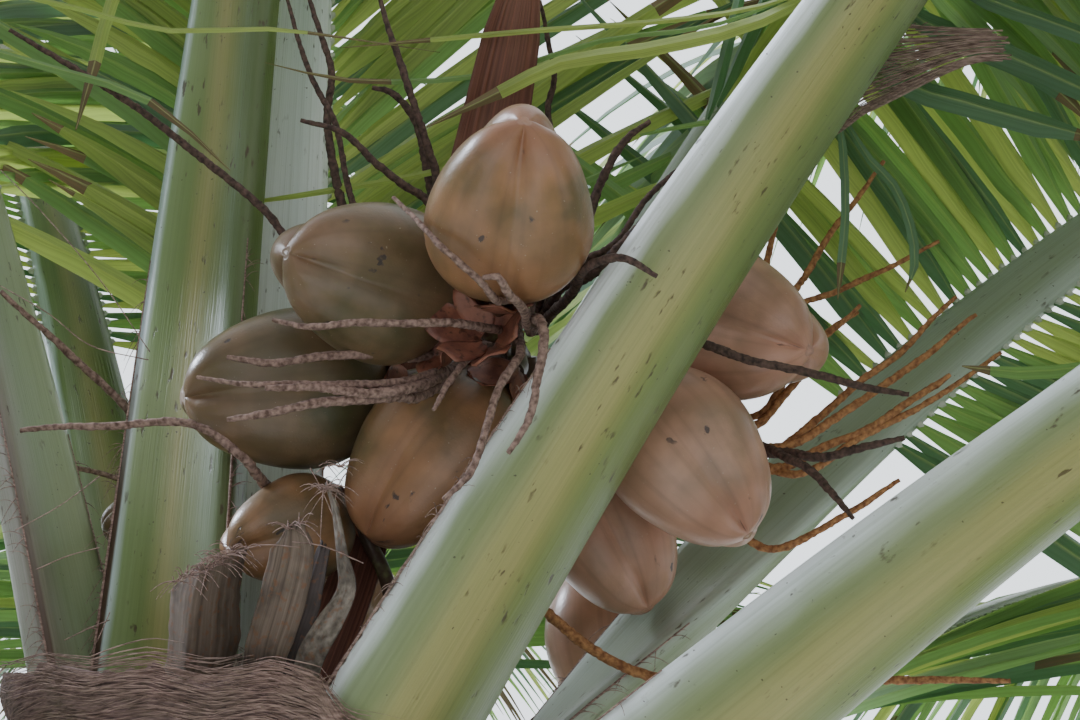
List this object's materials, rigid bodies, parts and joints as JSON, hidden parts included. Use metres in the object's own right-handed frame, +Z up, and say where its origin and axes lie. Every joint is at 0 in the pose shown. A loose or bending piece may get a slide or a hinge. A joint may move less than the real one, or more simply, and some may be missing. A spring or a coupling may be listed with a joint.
{
  "type": "dwarf coconut palm in fruit",
  "caption": "Whole dwarf coconut palm: short ringed trunk with a flared foot, feather fronds that arch on all sides, and bunches of bronze nuts among the leaf stalks.",
  "frame": {"origin": "middle of the flat cut under the trunk, at ground level", "axes": "+Z up along the foot of the trunk, -Y towards the side the front bunch of nuts is seen from, +X to that viewer's right"},
  "size_m": [7.248, 6.7519, 6.1833],
  "materials": {
    "bark": "weathered ringed palm bark, matt grey-brown",
    "leaf": "waxy leaf stalks in pale green and satin leaflets in mid to yellow green",
    "nut_skin": "smooth waxy husk, satin bronze with olive shade",
    "flower_stalk": "dry knobbly flower twigs, matt red-brown",
    "leaf_fibre": "dry woven leaf-sheath fibre and bracts, matt grey-brown"
  },
  "bodies": {
    "root": {"bract": "leaf_fibre", "frond_1": "leaf", "frond_10_inner": "leaf", "frond_10_outer": "leaf", "frond_11_inner": "leaf", "frond_11_outer": "leaf", "frond_12_inner": "leaf", "frond_12_outer": "leaf", "frond_13_inner": "leaf", "frond_13_outer": "leaf", "frond_14_inner": "leaf", "frond_14_outer": "leaf", "frond_15_inner": "leaf", "frond_15_outer": "leaf", "frond_16_inner": "leaf", "frond_16_outer": "leaf", "frond_17_inner": "leaf", "frond_17_outer": "leaf", "frond_18": "leaf", "frond_19": "leaf", "frond_2": "leaf", "frond_20": "leaf", "frond_21": "leaf", "frond_3": "leaf", "frond_4": "leaf", "frond_5_inner": "leaf", "frond_5_outer": "leaf", "frond_6_inner": "leaf", "frond_6_outer": "leaf", "frond_7_inner": "leaf", "frond_7_outer": "leaf", "frond_8_inner": "leaf", "frond_8_outer": "leaf", "frond_9_inner": "leaf", "frond_9_outer": "leaf", "net": "leaf_fibre", "nut_back_1": "nut_skin", "nut_back_2": "nut_skin", "nut_back_3": "nut_skin", "nut_back_4": "nut_skin", "nut_front_1": "nut_skin", "nut_front_2": "nut_skin", "nut_front_3": "nut_skin", "nut_front_4": "nut_skin", "nut_front_5": "nut_skin", "nut_right_1": "nut_skin", "nut_right_2": "nut_skin", "nut_right_3": "nut_skin", "nut_right_4": "nut_skin", "sheath": "leaf_fibre", "spear": "leaf", "stalk_back": "flower_stalk", "stalk_front": "flower_stalk", "stalk_right": "flower_stalk", "stub_1": "leaf_fibre", "stub_2": "leaf_fibre", "stub_3": "leaf_fibre", "trunk": "bark"}
  },
  "joints": []
}
